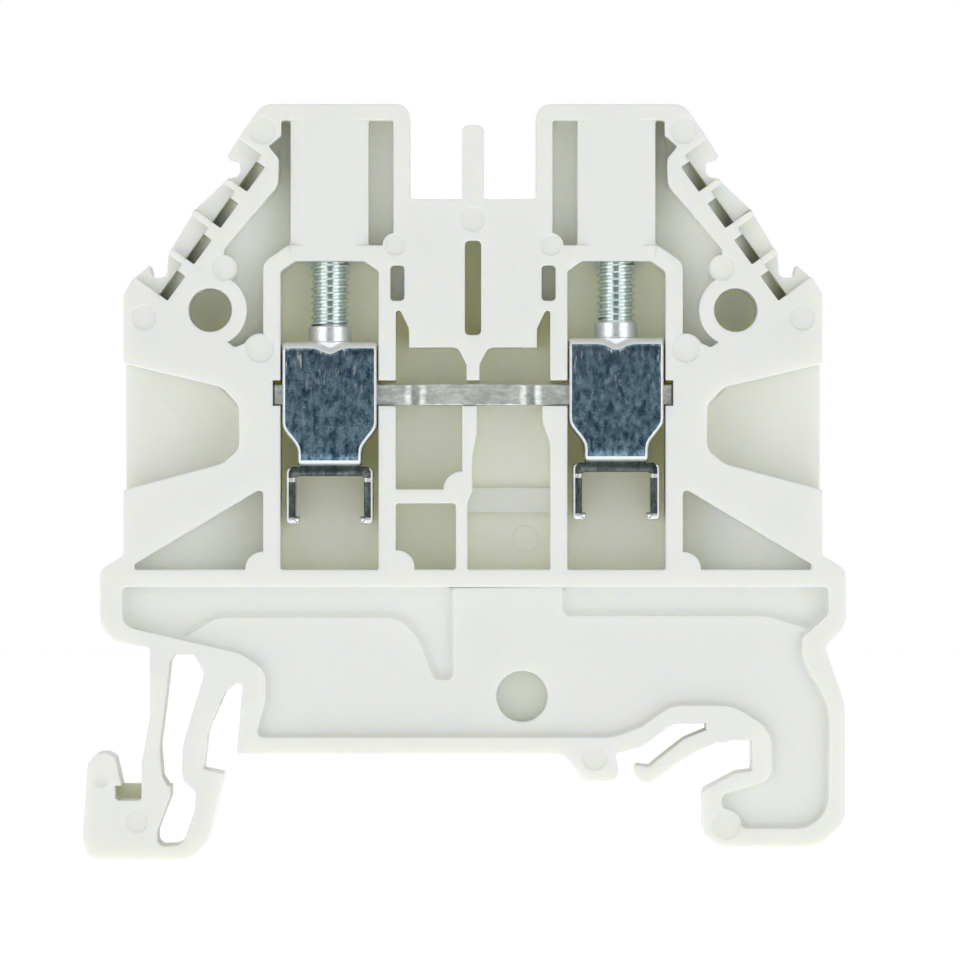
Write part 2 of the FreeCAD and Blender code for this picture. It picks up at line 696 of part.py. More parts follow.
def spring_finger():
    """Curved arm on a round root, which presses on the rail from above."""
    root = finger_root_radius - 0.04
    arm = [      # shares of the reach and the drop, and the corner's radius
        (0.432, 0.208, 1.5), (0.721, 0.556, 1.5), (0.838, 0.708, 0.4), (1.0, 0.667, 0.2),
        (0.982, 0.972, 0.5), (0.811, 1.0, 0.6), (0.541, 0.667, 2.5), (0.324, 0.458, 3.0),
    ]
    corners = [(finger_root_x - root, finger_root_z - 0.15)]
    corners += [(finger_root_x - back_share * finger_reach, finger_root_z - down_share * finger_drop, radius)
                for back_share, down_share, radius in arm]
    corners += [(finger_root_x - 0.25, finger_root_z - root), (finger_root_x, finger_root_z)]
    disc = across(finger_root_x, finger_root_z, finger_root_radius, front, back)
    return slab(corners, front, back).fuse(disc).removeSplitter()


# ---------------------------------------------------------------- metal parts
def current_bar():
    def plate(half_length, width):
        return box(centre_x - half_length, centre_x + half_length, screw_y - width / 2, screw_y + width / 2,
                   bar_z, bar_top)
    taper = (bar_middle_width - bar_end_width) / 2
    corners = [(bar_middle_half + taper, bar_end_width / 2), (bar_middle_half, bar_middle_width / 2)]
    loop = [V(centre_x + sx * u, screw_y + sy * v, bar_z) for sx, sy, order in
            ((1, 1, 1), (-1, 1, -1), (-1, -1, 1), (1, -1, -1)) for u, v in corners[::order]]
    middle = Part.Face(Part.makePolygon(loop + loop[:1])).extrude(V(0, 0, bar_sheet))
    bar = plate(bar_half, bar_end_width).fuse(middle)
    holes = []
    for side in SIDES.values():
        place = V(centre_x + side * bridge_offset, screw_y, bar_z)
        holes.append(Part.makeCylinder(bar_hole_radius, bar_sheet, place))
    return bar.cut(holes).removeSplitter()


def clamping_yoke(side):
    """Strip bent into a ring round the current bar, with a threaded collar drawn in its top."""
    x, low = screw_x(side), cage_base(side)
    half, foot = cage_width / 2, cage_foot_width / 2
    shape = slab([
        (x - foot, low),
        (x + foot, low),
        (x + foot + 0.1, low + 1.1, 0.8),
        (x + half, low + 2.6, 0.8),
        (x + half, low + cage_height, 0.3),
        (x - half, low + cage_height, 0.3),
        (x - half, low + 2.6, 0.8),
        (x - foot - 0.1, low + 1.1, 0.8),
    ], screw_y - cage_depth / 2, screw_y + cage_depth / 2)
    outer = rectangle(-cage_depth / 2, cage_depth / 2, low, low + cage_height, cage_bend)
    hollow = cage_depth / 2 - cage_sheet
    top = low + cage_height
    inner = rectangle(-hollow, hollow, low + cage_sheet, top - cage_sheet, cage_bend - cage_sheet)
    tube = slab(outer, -half, half).cut(slab(inner, -half, half))
    tube.rotate(V(0, 0, 0), V(0, 0, 1), 90)
    tube.translate(V(x, screw_y, 0))
    ring = tube.common(shape)
    collar = upright(x, collar_radius, top - 0.1, top + collar_height)
    bore = upright(x, thread_radius + thread_play, top - cage_sheet - 0.1, top + collar_height)
    return ring.fuse(collar).cut(bore)


def wire_guard(side):
    """Thin strip folded under the cage, with a leg down each side that ends in a turned-in lip."""
    x, top = screw_x(side), cage_base(side)
    half, inner = guard_span / 2, guard_span / 2 - guard_sheet
    low = top - guard_drop
    lip_top = low + guard_lip_height
    corners = [
        (x - half, top, 0.4),
        (x + half, top, 0.4),
        (x + half, low, 0.3),
        (x + inner - guard_lip, low, 0.1),
        (x + inner - guard_lip, lip_top, 0.1),
        (x + inner, lip_top),
        (x + inner, top - guard_sheet, 0.2),
        (x - inner, top - guard_sheet, 0.2),
        (x - inner, lip_top),
        (x - inner + guard_lip, lip_top, 0.1),
        (x - inner + guard_lip, low, 0.1),
        (x - half, low, 0.3),
    ]
    return slab(corners, screw_y - guard_width / 2, screw_y + guard_width / 2)


def clamping_screw(side):
    """Slotted screw that stands on the current bar. The thread is cut as one ring groove per pitch."""
    x = screw_x(side)
    tip = bar_top + thread_play
    neck = chamber_top_z + ceiling + head_play
    root = thread_radius - thread_depth
    grooves = int((neck - tip - 1.0) / thread_pitch)
    profile = [(0, tip), (root, tip), (thread_radius, tip + thread_depth)]
    for turn in range(grooves):
        low = tip + thread_depth + 0.1 + turn * thread_pitch
        profile.append((thread_radius, low))
        profile.append((root, low + thread_pitch * 0.42))
        profile.append((thread_radius, low + thread_pitch * 0.84))
    profile += [
        (thread_radius, neck),
        (head_radius, neck),
        (head_radius, neck + head_height - head_chamfer),
        (head_radius - head_chamfer, neck + head_height),
        (0, neck + head_height),
    ]
    points = [V(x + r, screw_y, z) for r, z in profile]
    face = Part.Face(Part.makePolygon(points + points[:1]))
    screw = face.revolve(V(x, screw_y, 0), V(0, 0, 1), 360)
    slot = box(x - head_radius, x + head_radius, screw_y - slot_width / 2, screw_y + slot_width / 2,
               neck + head_height - slot_depth, neck + head_height + 1)
    return screw.cut(slot)


# ---------------------------------------------------------------- write one file per part
def write(name, shape):
    shape.exportStep("parts/" + name + ".step")
    bounds = shape.BoundBox
    print(name, "solids", len(shape.Solids), "valid", shape.isValid(), "volume", round(shape.Volume, 1),
          "z", round(bounds.ZMin, 2), round(bounds.ZMax, 2))


write("housing", housing())
write("latch_leg_outer", latch_leg_outer())
write("latch_leg_inner", latch_leg_inner())
write("latch_foot", latch_foot())
write("spring_finger", spring_finger())
write("current_bar", current_bar())
for name, side in SIDES.items():
    write("clamping_yoke_" + name, clamping_yoke(side))
    write("wire_guard_" + name, wire_guard(side))
    write("clamping_screw_" + name, clamping_screw(side))
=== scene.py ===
import json
import math

import bmesh
import bpy
from mathutils import Matrix, Vector


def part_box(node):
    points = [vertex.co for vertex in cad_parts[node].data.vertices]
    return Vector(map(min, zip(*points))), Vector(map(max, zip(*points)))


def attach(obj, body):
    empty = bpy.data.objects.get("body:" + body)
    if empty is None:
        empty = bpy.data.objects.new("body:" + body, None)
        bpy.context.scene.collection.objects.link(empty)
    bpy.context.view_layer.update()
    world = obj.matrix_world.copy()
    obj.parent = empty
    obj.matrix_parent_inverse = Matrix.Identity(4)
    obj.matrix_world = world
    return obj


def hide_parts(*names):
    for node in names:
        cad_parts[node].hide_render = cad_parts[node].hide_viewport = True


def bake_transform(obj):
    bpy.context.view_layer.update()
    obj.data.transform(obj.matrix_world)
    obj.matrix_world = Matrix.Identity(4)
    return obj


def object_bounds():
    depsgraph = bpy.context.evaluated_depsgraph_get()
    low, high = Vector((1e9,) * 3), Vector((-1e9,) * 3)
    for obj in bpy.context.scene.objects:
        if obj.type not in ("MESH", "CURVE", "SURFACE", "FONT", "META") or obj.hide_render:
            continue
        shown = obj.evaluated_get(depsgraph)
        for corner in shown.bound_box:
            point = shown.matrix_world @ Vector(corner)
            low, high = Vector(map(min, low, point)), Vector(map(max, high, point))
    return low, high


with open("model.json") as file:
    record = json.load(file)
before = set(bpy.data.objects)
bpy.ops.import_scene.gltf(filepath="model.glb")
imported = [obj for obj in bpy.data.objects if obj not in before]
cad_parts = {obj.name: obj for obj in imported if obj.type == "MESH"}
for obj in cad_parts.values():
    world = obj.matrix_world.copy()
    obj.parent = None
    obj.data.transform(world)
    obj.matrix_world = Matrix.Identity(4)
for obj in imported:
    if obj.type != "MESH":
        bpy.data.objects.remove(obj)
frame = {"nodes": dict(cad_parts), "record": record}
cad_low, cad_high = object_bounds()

# ---------------------------------------------------------------- Moulding
# The block's body: one piece of off-white polyamide from a two-part mould, matt from its spark-eroded
# cavity. It is open in front, where all else sits in it, and closed behind. Its outer edges are softly
# rounded, and light that passes through its thin places turns olive. Deep in its pockets a darker,
# yellowish shade is painted on.
MM = 0.001                   # pieces are modelled in millimetres, and brought to metres at the end
PLASTIC_EDGE = 0.06          # rounding of its outer edges
MARK_EDGE = 0.045            # the same at the rims of the shallow marks that the ejector pins leave
SHARP = math.radians(28)     # edges that turn by more than this are rounded
CREASE = math.radians(20)    # and those that turn by more than this stay creases in the shading
SKIN = ((0.858, 0.880, 0.850, 1), (0.880, 0.898, 0.870, 1))
PAINTED_POCKET_SHADE = (1.0, 1.0, 0.93, 1)     # painted shade: what the skin turns to, darker and yellower, down in the pockets
SHADE_REACH = 3.2           # how far off walls have to be for a spot to get none of the painted pocket shade
GRAIN_DEPTH = 0.012          # depth of the spark-eroded texture
LIGHT_DEPTH = 0.7            # how far light spreads inside the plastic
JOINT_MARGIN = (0.25, 1.3)   # how far beside a joint it begins to spread, and spreads fully
FAR_OFF = 100.0              # farther from every joint than any spot on the block


def shader(name, roughness, metallic=0.0):
    """A new node material: its tree, its shader and a function that adds a node and joins it up."""
    material = bpy.data.materials.new(name)
    material.use_nodes = True
    tree = material.node_tree
    principled = tree.nodes["Principled BSDF"]
    principled.inputs["Roughness"].default_value = roughness
    principled.inputs["Metallic"].default_value = metallic

    def node(kind, inputs=(), **settings):
        made = tree.nodes.new("ShaderNode" + kind)
        for key, value in settings.items():
            setattr(made, key, value)
        for key, value in dict(inputs).items():
            if isinstance(value, bpy.types.NodeSocket):
                tree.links.new(value, made.inputs[key])
            else:
                made.inputs[key].default_value = value
        return made

    return material, tree, principled, node


def in_millimetres(node, stretch=(1, 1, 1)):
    """The piece's own coordinates, in millimetres, stretched for a pattern with a grain."""
    place = node("TexCoord").outputs["Object"]
    return node("Mapping", {"Vector": place, "Scale": [s / MM for s in stretch]}).outputs["Vector"]


def ramp(node, factor, low, high, low_at=0.0, high_at=1.0):
    """Colour that goes from low to high as a factor goes from low_at to high_at."""
    made = node("ValToRGB", {"Fac": factor})
    for element, colour, place in zip(made.color_ramp.elements, (low, high), (low_at, high_at)):
        element.color, element.position = colour, place
    return made.outputs["Color"]


def blend_colours(node, first, second, factor=1.0, how="MIX"):
    """The first colour with the second laid over it by a factor."""
    made = node("Mix", data_type="RGBA", blend_type=how)
    for socket, value in ((0, factor), (6, first), (7, second)):
        if isinstance(value, bpy.types.NodeSocket):
            made.id_data.links.new(value, made.inputs[socket])
        else:
            made.inputs[socket].default_value = value
    return made.outputs[2]


def moulded_plastic(joints):
    """Off-white polyamide. Light spreads in it, but not where meshes join or walls are thin."""
    material, tree, principled, node = shader("moulded_plastic", 0.42)
    place = in_millimetres(node)
    seen_from_front = in_millimetres(node, (1, 0, 1))
    away = FAR_OFF
    for x, z, radius in joints:
        far = node("VectorMath", {0: seen_from_front, 1: (x, 0, z)}, operation="DISTANCE").outputs["Value"]
        far = node("Math", {0: far, 1: radius}, operation="SUBTRACT").outputs[0]
        away = node("Math", {0: far, 1: away}, operation="MINIMUM").outputs[0]
    spread = node("MapRange", {"Value": away, "From Min": JOINT_MARGIN[0], "From Max": JOINT_MARGIN[1]},
                  interpolation_type="SMOOTHSTEP")
    tree.links.new(spread.outputs["Result"], principled.inputs["Subsurface Weight"])
    flow = node("TexNoise", {"Vector": place, "Scale": 0.16, "Detail": 3.0, "Roughness": 0.6})
    skin = ramp(node, flow.outputs["Fac"], SKIN[0], SKIN[1], 0.3, 0.7)
    # Painted shade: the more closely walls stand round a spot, the darker and yellower its colour
    room = node("AmbientOcclusion", {"Distance": SHADE_REACH * MM}, samples=4)
    shade_in_pockets = ramp(node, room.outputs["AO"], PAINTED_POCKET_SHADE, (1, 1, 1, 1), 0.05, 0.7)
    tree.links.new(blend_colours(node, skin, shade_in_pockets, how="MULTIPLY"), principled.inputs["Base Color"])
    grain = node("TexNoise", {"Vector": place, "Scale": 9.0, "Detail": 4.0, "Roughness": 0.7})
    bump = node("Bump", {"Height": grain.outputs["Fac"], "Strength": 0.25, "Distance": GRAIN_DEPTH * MM})
    tree.links.new(bump.outputs["Normal"], principled.inputs["Normal"])
    principled.inputs["Subsurface Radius"].default_value = (1.0, 0.9, 0.55)
    principled.inputs["Subsurface Scale"].default_value = LIGHT_DEPTH * MM
    return material


WELD = 0.001                 # corners nearer together than this are one corner


def cut_across(bm, place, normal, clear_outer=False):
    """Cut a mesh along a plane, and take away what lies beyond it if asked."""
    bmesh.ops.bisect_plane(bm, geom=bm.verts[:] + bm.edges[:] + bm.faces[:], dist=WELD / 10,
                           plane_co=place, plane_no=normal, clear_outer=clear_outer)


def merged_copy(*names, cut_y=None):
    """The CAD nodes' surface as one welded mesh, in millimetres, with an extra cut across it if asked."""
    bm = bmesh.new()
    for name in names:
        bm.from_mesh(frame["nodes"][name].data)
    bmesh.ops.scale(bm, vec=(1 / MM,) * 3, verts=bm.verts)
    bmesh.ops.remove_doubles(bm, verts=bm.verts, dist=WELD)
    if cut_y is not None:
        cut_across(bm, (0, cut_y, 0), (0, 1, 0))
        bmesh.ops.remove_doubles(bm, verts=bm.verts, dist=WELD)
    return bm


def corners_of(*names):
    """Corner points of CAD nodes, in millimetres, to find where two of them touch."""
    return {name: {tuple(round(c / MM, 2) for c in v.co) for v in frame["nodes"][name].data.vertices}
            for name in names}


def grows_out(edge, roots):
    """Whether both ends of an edge are corners that one of the root nodes shares."""
    ends = [tuple(round(c, 2) for c in v.co) for v in edge.verts]
    return any(all(end in corners for end in ends) for corners in roots.values())


def has_room(edge, width):
    """Whether an edge's walls are high enough to be rounded by width. Faces in front always are."""
    length = edge.calc_length()
    return all(abs(face.normal.y) > 0.5 or 2 * face.calc_area() / length > 2 * width
               for face in edge.link_faces)


def soften(bm, width, segments, seam=None, material=-1):
    """Round every outer edge, apart from those that seam() says are no edges on the real piece."""
    edges = [e for e in bm.edges if e.is_manifold and e.is_convex and e.calc_face_angle() > SHARP
             and has_room(e, width) and not (seam and seam(e))]
    bmesh.ops.bevel(bm, geom=edges, offset=width, offset_type="OFFSET", affect="EDGES", segments=segments,
                    profile=0.5, material=material, clamp_overlap=False)


def soften_moulding(bm, seam):
    """Round the moulding's outer edges, by less where they are only the rims of ejector marks."""
    soften(bm, MARK_EDGE, 2, lambda edge: seam(edge) or has_room(edge, PLASTIC_EDGE))
    soften(bm, PLASTIC_EDGE, 2, seam)


SQUARE_ON = 0.9999           # a face whose normal follows an axis this closely is a flat one


def piece(bm, name, materials, slot, *nodes, body=None, flats=True):
    """Finish a mesh: bring it to metres, shade curves smooth and flats flat, and put it in place."""
    bmesh.ops.scale(bm, vec=(MM,) * 3, verts=bm.verts)
    mesh = bpy.data.meshes.new(name)
    bm.to_mesh(mesh)
    bm.free()
    for material in materials:
        mesh.materials.append(material)
    mesh.set_sharp_from_angle(angle=CREASE)
    for face in mesh.polygons:
        face.use_smooth = not flats or max(abs(c) for c in face.normal) < SQUARE_ON
    made = bpy.data.objects.new(name, mesh)
    bpy.context.scene.collection.objects.link(made)
    weighted = made.modifiers.new("weighted_normals", "WEIGHTED_NORMAL")
    weighted.keep_sharp = True
    weighted.weight = 100
    if body:
        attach(made, body)
    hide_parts(*nodes)
    return made


LEGS = ("latch_leg_outer", "latch_leg_inner")
SOCKET = 1.0                 # radius of the finger's root, which fills its place in the moulding
ROOT_PLAY = 0.02             # how far from that radius the root's corners may be
SHAFT = 1.5                  # how far round a screw's shaft the wall is too thin for light to spread
SHAFT_LEVELS = (-1.5, 0.5, 2.5, 4.5)     # heights along a shaft, from the top of the screw's head
hinge = next(joint for joint in frame["record"]["behaviour"]["joints"] if joint["name"] == "finger_flex")
hinge_x, hinge_z = (hinge["pos_m"][i] / MM for i in (0, 2))
leg_corners = corners_of(*LEGS)
housing_corners = corners_of("housing")["housing"]
joints = [(hinge_x, hinge_z, SOCKET)]
for corners in leg_corners.values():
    root = [Vector(corner) for corner in corners & housing_corners]
    middle = sum(root, Vector()) / len(root)
    joints.append((middle.x, middle.z, max(abs(corner.x - middle.x) for corner in root)))
for side in ("left", "right"):
    low, high = (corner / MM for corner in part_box("clamping_screw_" + side))
    joints += [((low.x + high.x) / 2, high.z + above, SHAFT) for above in SHAFT_LEVELS]
plastic = moulded_plastic(joints)


def from_hinge(vertex):
    """How far a vertex is from the line that the finger turns about."""
    return math.hypot(vertex.co.x - hinge_x, vertex.co.z - hinge_z)


def in_moulding(edge):
    """Whether an edge of the moulding is only where a leg or the finger grows out of it."""
    return grows_out(edge, leg_corners) or all(abs(from_hinge(v) - SOCKET) < ROOT_PLAY for v in edge.verts)


shell = merged_copy("housing")
soften_moulding(shell, in_moulding)
piece(shell, "moulding", [plastic], "plastic", "housing", body="block")

# ---------------------------------------------------------------- Latch
# The movable rail foot: two thin legs grow out of the moulding and carry a foot, all in one piece with it.
# A screwdriver in the notch pulls the foot sideways and the legs bend in an S.
BACK_WALL = 0.6              # thickness of the back wall; the latch is cut level with its inner side


def lies_inside(face, boxes):
    """Whether a face is the joint between a leg and the foot, which is solid plastic on the real piece."""
    middle = face.calc_center_median()
    return any(abs(middle.z - low.z) < 2 * WELD and abs(face.normal.z) > 0.99 and low.x < middle.x < high.x
               for low, high in boxes)


leg_ends = []
for name in LEGS:
    low, high = (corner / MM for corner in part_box(name))
    ends = [v.co.x / MM for v in frame["nodes"][name].data.vertices if v.co.z / MM < low.z + WELD]
    leg_ends.append((Vector((min(ends), 0, low.z)), Vector((max(ends), 0, low.z))))
latch_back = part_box("latch_foot")[1].y / MM
foot = merged_copy("latch_foot", *LEGS, cut_y=latch_back - BACK_WALL)
inner_faces = [f for f in foot.faces if lies_inside(f, leg_ends)]
bmesh.ops.delete(foot, geom=inner_faces, context="FACES")
soften_moulding(foot, lambda edge: grows_out(edge, {"housing": housing_corners}))
latch = piece(foot, "latch", [plastic], "plastic", "latch_foot", *LEGS)
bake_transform(latch)

# ---------------------------------------------------------------- Finger
# A curved spring arm of the same plastic, moulded on with the rest. It lies over the rail's edge beside the
# fixed hook, and bends up when the block is pushed on. Its round root fills its place in the block.
ROOT = 0.95                  # radius of its CAD solid there, which leaves room to turn
arm = merged_copy("spring_finger")
for vertex in arm.verts:
    if abs(from_hinge(vertex) - ROOT) < ROOT_PLAY / 2:
        grow = SOCKET / from_hinge(vertex)
        vertex.co.x = hinge_x + (vertex.co.x - hinge_x) * grow
        vertex.co.z = hinge_z + (vertex.co.z - hinge_z) * grow
soften_moulding(arm, lambda edge: all(from_hinge(v) < SOCKET + ROOT_PLAY for v in edge.verts))
piece(arm, "rail_finger", [plastic], "plastic", "spring_finger", body="finger")

# ---------------------------------------------------------------- Current bar
# Stamped copper strip, tinned, wider in the middle where the two holes for a bridge are. Its shoulders are
# rounded by the punch, and the tin is cloudy.
SHOULDER = 0.32              # rounding of its shoulders
SHOULDER_PLACE = (3, 5)      # how far left or right of its middle they are
SHOULDER_DEPTH = 1.1         # and how far before or behind it, at least
BAR_EDGE = 0.08              # rounding of its other edges
TIN = ((0.50, 0.53, 0.51, 1), (0.86, 0.90, 0.86, 1))


def tinned_copper():
    """Tin with cloudy places, where it is darker and duller."""
    material, tree, principled, node = shader("tinned_copper", 0.3, 1.0)
    place = in_millimetres(node, (0.8, 1.6, 1.6))
    cloud = node("TexNoise", {"Vector": place, "Scale": 1.5, "Detail": 6.0, "Roughness": 0.65})
    tree.links.new(ramp(node, cloud.outputs["Fac"], TIN[0], TIN[1], 0.38, 0.62),
                   principled.inputs["Base Color"])
    rough = node("MapRange", {"Value": cloud.outputs["Fac"], "To Min": 0.45, "To Max": 0.2})
    tree.links.new(rough.outputs["Result"], principled.inputs["Roughness"])
    bump = node("Bump", {"Height": cloud.outputs["Fac"], "Strength": 0.5, "Distance": 0.03 * MM})
    tree.links.new(bump.outputs["Normal"], principled.inputs["Normal"])
    return material


bar = merged_copy("current_bar")
low, high = (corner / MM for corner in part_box("current_bar"))
middle = (low + high) / 2
# Its upright sides become one face each, so that its shoulders can be rounded
side_edges = [e for e in bar.edges if all(abs(f.normal.z) < 0.1 for f in e.link_faces)]
bmesh.ops.dissolve_limit(bar, angle_limit=0.02, verts=[], edges=side_edges)
shoulders = [e for e in bar.edges if abs((e.verts[0].co - e.verts[1].co).z) > 1 and
             all(abs(v.co.y - middle.y) > SHOULDER_DEPTH and
                 SHOULDER_PLACE[0] < abs(v.co.x - middle.x) < SHOULDER_PLACE[1] for v in e.verts)]
bmesh.ops.bevel(bar, geom=shoulders, offset=SHOULDER, offset_type="OFFSET", affect="EDGES", segments=4,
                profile=0.5, material=-1, clamp_overlap=True)
soften(bar, BAR_EDGE, 2)
piece(bar, "current_bar_strip", [tinned_copper()], "tinned_copper", "current_bar", body="block")

# ---------------------------------------------------------------- Clamping yokes
# Zinc-plated steel strip bent into a ring round the bar and the wire. Its cut edges are rounded, and its
# top is drawn up into a threaded collar, which pulls the front bend down a little.
YOKE_SHEET = 0.6             # thickness of the strip
YOKE_BEND = 0.65             # outside radius of its bends
YOKE_RIM = 0.2               # rounding of its cut edges
YOKE_FOOT = 2.05             # half its width at the bottom
YOKE_WIDENS = (0.95, 2.75)   # heights above the bottom between which it widens
YOKE_CUTS = ((0, 29), (2, 24), (1, 5))      # an axis, and the cuts across the edges along it
RIM_STRIP = 0.93             # the cuts lie within this share of the width, which leaves a strip at each rim
BEND_ROOM = 1.0              # its bends lie within this much of its top and bottom
BEND_SEEN = 0.45             # how far a bend has to turn before it gets a painted highlight
COLLAR_HEIGHT = 1.05
COLLAR_STEPS = 40
DIP = 0.38                   # how far the collar has pulled the top of the front down
DIP_IN = 0.06                # and how far in
DIP_WIDTH = 0.62             # how far to the sides the pull is felt
DIP_HEIGHTS = (-1.7, -0.3)   # heights below the top between which it grows
DIP_DEPTHS = (0.2, 1.6)      # and distances before the middle between which it grows
# The face's colours: blotchy plating, painted darker to stand for the dark reflection the face shows
ZINC_DARK = (0.03, 0.075, 0.125, 1)
ZINC_LIGHT = (0.30, 0.46, 0.57, 1)
ZINC_RUBBED = (0.72, 0.76, 0.78, 1)
WORN_FROM = (22.4, 25.2)     # heights between which the face begins to show upright scratches


def zinc_plate(name, dark, light, grain, polish, worn_from=None):
    """Blue-passivated zinc: blotchy, with bright upright scratches towards the top if asked."""
    material, tree, principled, node = shader(name, 0.25, 1.0)
    place = in_millimetres(node)
    upright = in_millimetres(node, (1.35, 1.0, 0.8))
    blotch = node("TexNoise", {"Vector": upright, "Scale": grain, "Detail": 5.0, "Roughness": 0.75})
    skin = ramp(node, blotch.outputs["Fac"], dark, light, 0.38, 0.64)
    if worn_from:
        drawn = in_millimetres(node, (4.6, 4.6, 1.0))
        scratch = node("TexNoise", {"Vector": drawn, "Scale": 1.0, "Detail": 2.0, "Roughness": 0.5})
        rubbed = node("MapRange", {"Value": scratch.outputs["Fac"], "From Min": 0.60, "From Max": 0.70})
        height = node("SeparateXYZ", {"Vector": place}).outputs["Z"]
        near_top = node("MapRange", {"Value": height, "From Min": worn_from[0], "From Max": worn_from[1]})
        share = node("Math", {0: rubbed.outputs[0], 1: near_top.outputs[0]}, operation="MULTIPLY")
        skin = blend_colours(node, skin, ZINC_RUBBED, share.outputs[0])
    tree.links.new(skin, principled.inputs["Base Color"])
    rough = node("MapRange", {"Value": blotch.outputs["Fac"], "To Min": polish + 0.1, "To Max": polish})
    tree.links.new(rough.outputs["Result"], principled.inputs["Roughness"])
    bump = node("Bump", {"Height": blotch.outputs["Fac"], "Strength": 0.5, "Distance": 0.02 * MM})
    tree.links.new(bump.outputs["Normal"], principled.inputs["Normal"])
    return material


zinc_face_painted_dark = zinc_plate("zinc_face_painted_dark", ZINC_DARK, ZINC_LIGHT, 1.8, 0.16, WORN_FROM)
# Brighter copies of the same plating: painted highlights, which on the cut rims are partly wear too
zinc_worn_and_highlit = zinc_plate("zinc_worn_and_highlit", (0.80, 0.83, 0.86, 1), (0.94, 0.95, 0.96, 1), 2.2, 0.2)
zinc_bend_highlight = zinc_plate("zinc_bend_highlight", (0.92, 0.94, 0.94, 1), (0.98, 0.98, 0.98, 1), 2.2, 0.5)


def smooth_share(value, low, high):
    """How far value has come from low to high, from 0 to 1, with a gentle start and end."""
    share = min(1, max(0, (value - low) / (high - low)))
    return share * share * (3 - 2 * share)


def bent_strip(node_name):
    """The yoke's ring: a box with rounded bends and no ends, narrowed at the foot, and given its sheet."""
    low, high = (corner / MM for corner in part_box(node_name))
    top = high.z - COLLAR_HEIGHT
    middle_height = (low.z + top) / 2
    middle = Vector(((low.x + high.x) / 2, (low.y + high.y) / 2, top))
    half = (high.x - low.x) / 2
    bm = bmesh.new()
    bmesh.ops.create_cube(bm, size=1)
    bmesh.ops.scale(bm, vec=(2 * half, high.y - low.y, top - low.z), verts=bm.verts)
    bmesh.ops.translate(bm, vec=(middle.x, middle.y, middle_height), verts=bm.verts)
    across = [e for e in bm.edges if abs((e.verts[0].co - e.verts[1].co).x) > 1]
    bmesh.ops.bevel(bm, geom=across, offset=YOKE_BEND, offset_type="OFFSET", affect="EDGES", segments=8,
                    profile=0.5, material=-1)
    ends = [f for f in bm.faces if abs(f.normal.x) > 0.9]
    bmesh.ops.delete(bm, geom=ends, context="FACES")
    for axis, cuts in YOKE_CUTS:
        long_edges = [e for e in bm.edges if abs((e.verts[0].co - e.verts[1].co)[axis]) > 1]
        bmesh.ops.subdivide_edges(bm, edges=long_edges, cuts=cuts, use_grid_fill=True)
    for v in bm.verts:
        share = (v.co.x - middle.x) / half
        if abs(share) < 0.999:
            share *= RIM_STRIP
        width = YOKE_FOOT + (half - YOKE_FOOT) * smooth_share(v.co.z, *(low.z + up for up in YOKE_WIDENS))
        pull = math.exp(-(share * half / DIP_WIDTH) ** 2)
        pull *= smooth_share(v.co.z, *(top + up for up in DIP_HEIGHTS))
        pull *= smooth_share(middle.y - v.co.y, *DIP_DEPTHS)
        v.co.x = middle.x + share * width
        v.co.z -= DIP * pull
        v.co.y += DIP_IN * pull
    bmesh.ops.recalc_face_normals(bm, faces=bm.faces)
    bmesh.ops.solidify(bm, geom=bm.faces[:], thickness=YOKE_SHEET)
    bmesh.ops.recalc_face_normals(bm, faces=bm.faces)
    # The rounded cut edges get the bright material: partly worn bright, partly a painted highlight
    rims = [e for e in bm.edges if e.is_convex and e.calc_face_angle() > math.radians(60) and
            all(min(v.co.y - low.y, high.y - v.co.y, v.co.z - low.z, top - v.co.z) < YOKE_SHEET / 2
                for v in e.verts)]
    bmesh.ops.bevel(bm, geom=rims, offset=YOKE_RIM, offset_type="OFFSET", affect="EDGES", segments=3,
                    profile=0.5, material=1, clamp_overlap=False)
    # Faces far round the top and bottom bends get painted highlights, the brighter one at the top
    for face in bm.faces:
        height = face.calc_center_median().z
        if abs(face.normal.z) > BEND_SEEN and not low.z + BEND_ROOM < height < top - BEND_ROOM:
            face.material_index = 1 if height < middle_height else 2
    return bm, middle, top


def threaded_collar(bm, middle, top):
    """Collar drawn up from the yoke's top: a straight wall with a small fillet at its foot."""
    profile = [(1.28, -0.45), (1.28, 0.97), (1.33, 1.05), (1.36, 1.05), (1.42, 0.98), (1.42, 0.94),
               (1.42, 0.17), (1.42, 0.12), (1.44, 0.05), (1.5, 0.0), (1.5, -0.1), (1.42, -0.45)]
    points = [bm.verts.new((middle.x + r, middle.y, top + z)) for r, z in profile]
    loop = [bm.edges.new(pair) for pair in zip(points, points[1:] + points[:1])]
    bmesh.ops.spin(bm, geom=points + loop, cent=(middle.x, middle.y, top), axis=(0, 0, 1),
                   dvec=(0, 0, 0), angle=2 * math.pi, steps=COLLAR_STEPS, use_merge=True)


for side in ("left", "right"):
    node_name = "clamping_yoke_" + side
    yoke, middle, top = bent_strip(node_name)
    old = set(yoke.faces)
    threaded_collar(yoke, middle, top)
    collar = [f for f in yoke.faces if f not in old]
    bmesh.ops.recalc_face_normals(yoke, faces=collar)
    # The collar gets the bright material too: a painted highlight on the yoke's own steel
    for face in collar:
        face.material_index = 1
    piece(yoke, "yoke_" + side, [zinc_face_painted_dark, zinc_worn_and_highlit, zinc_bend_highlight], "cage_steel", node_name,
          body="cage_" + side, flats=False)
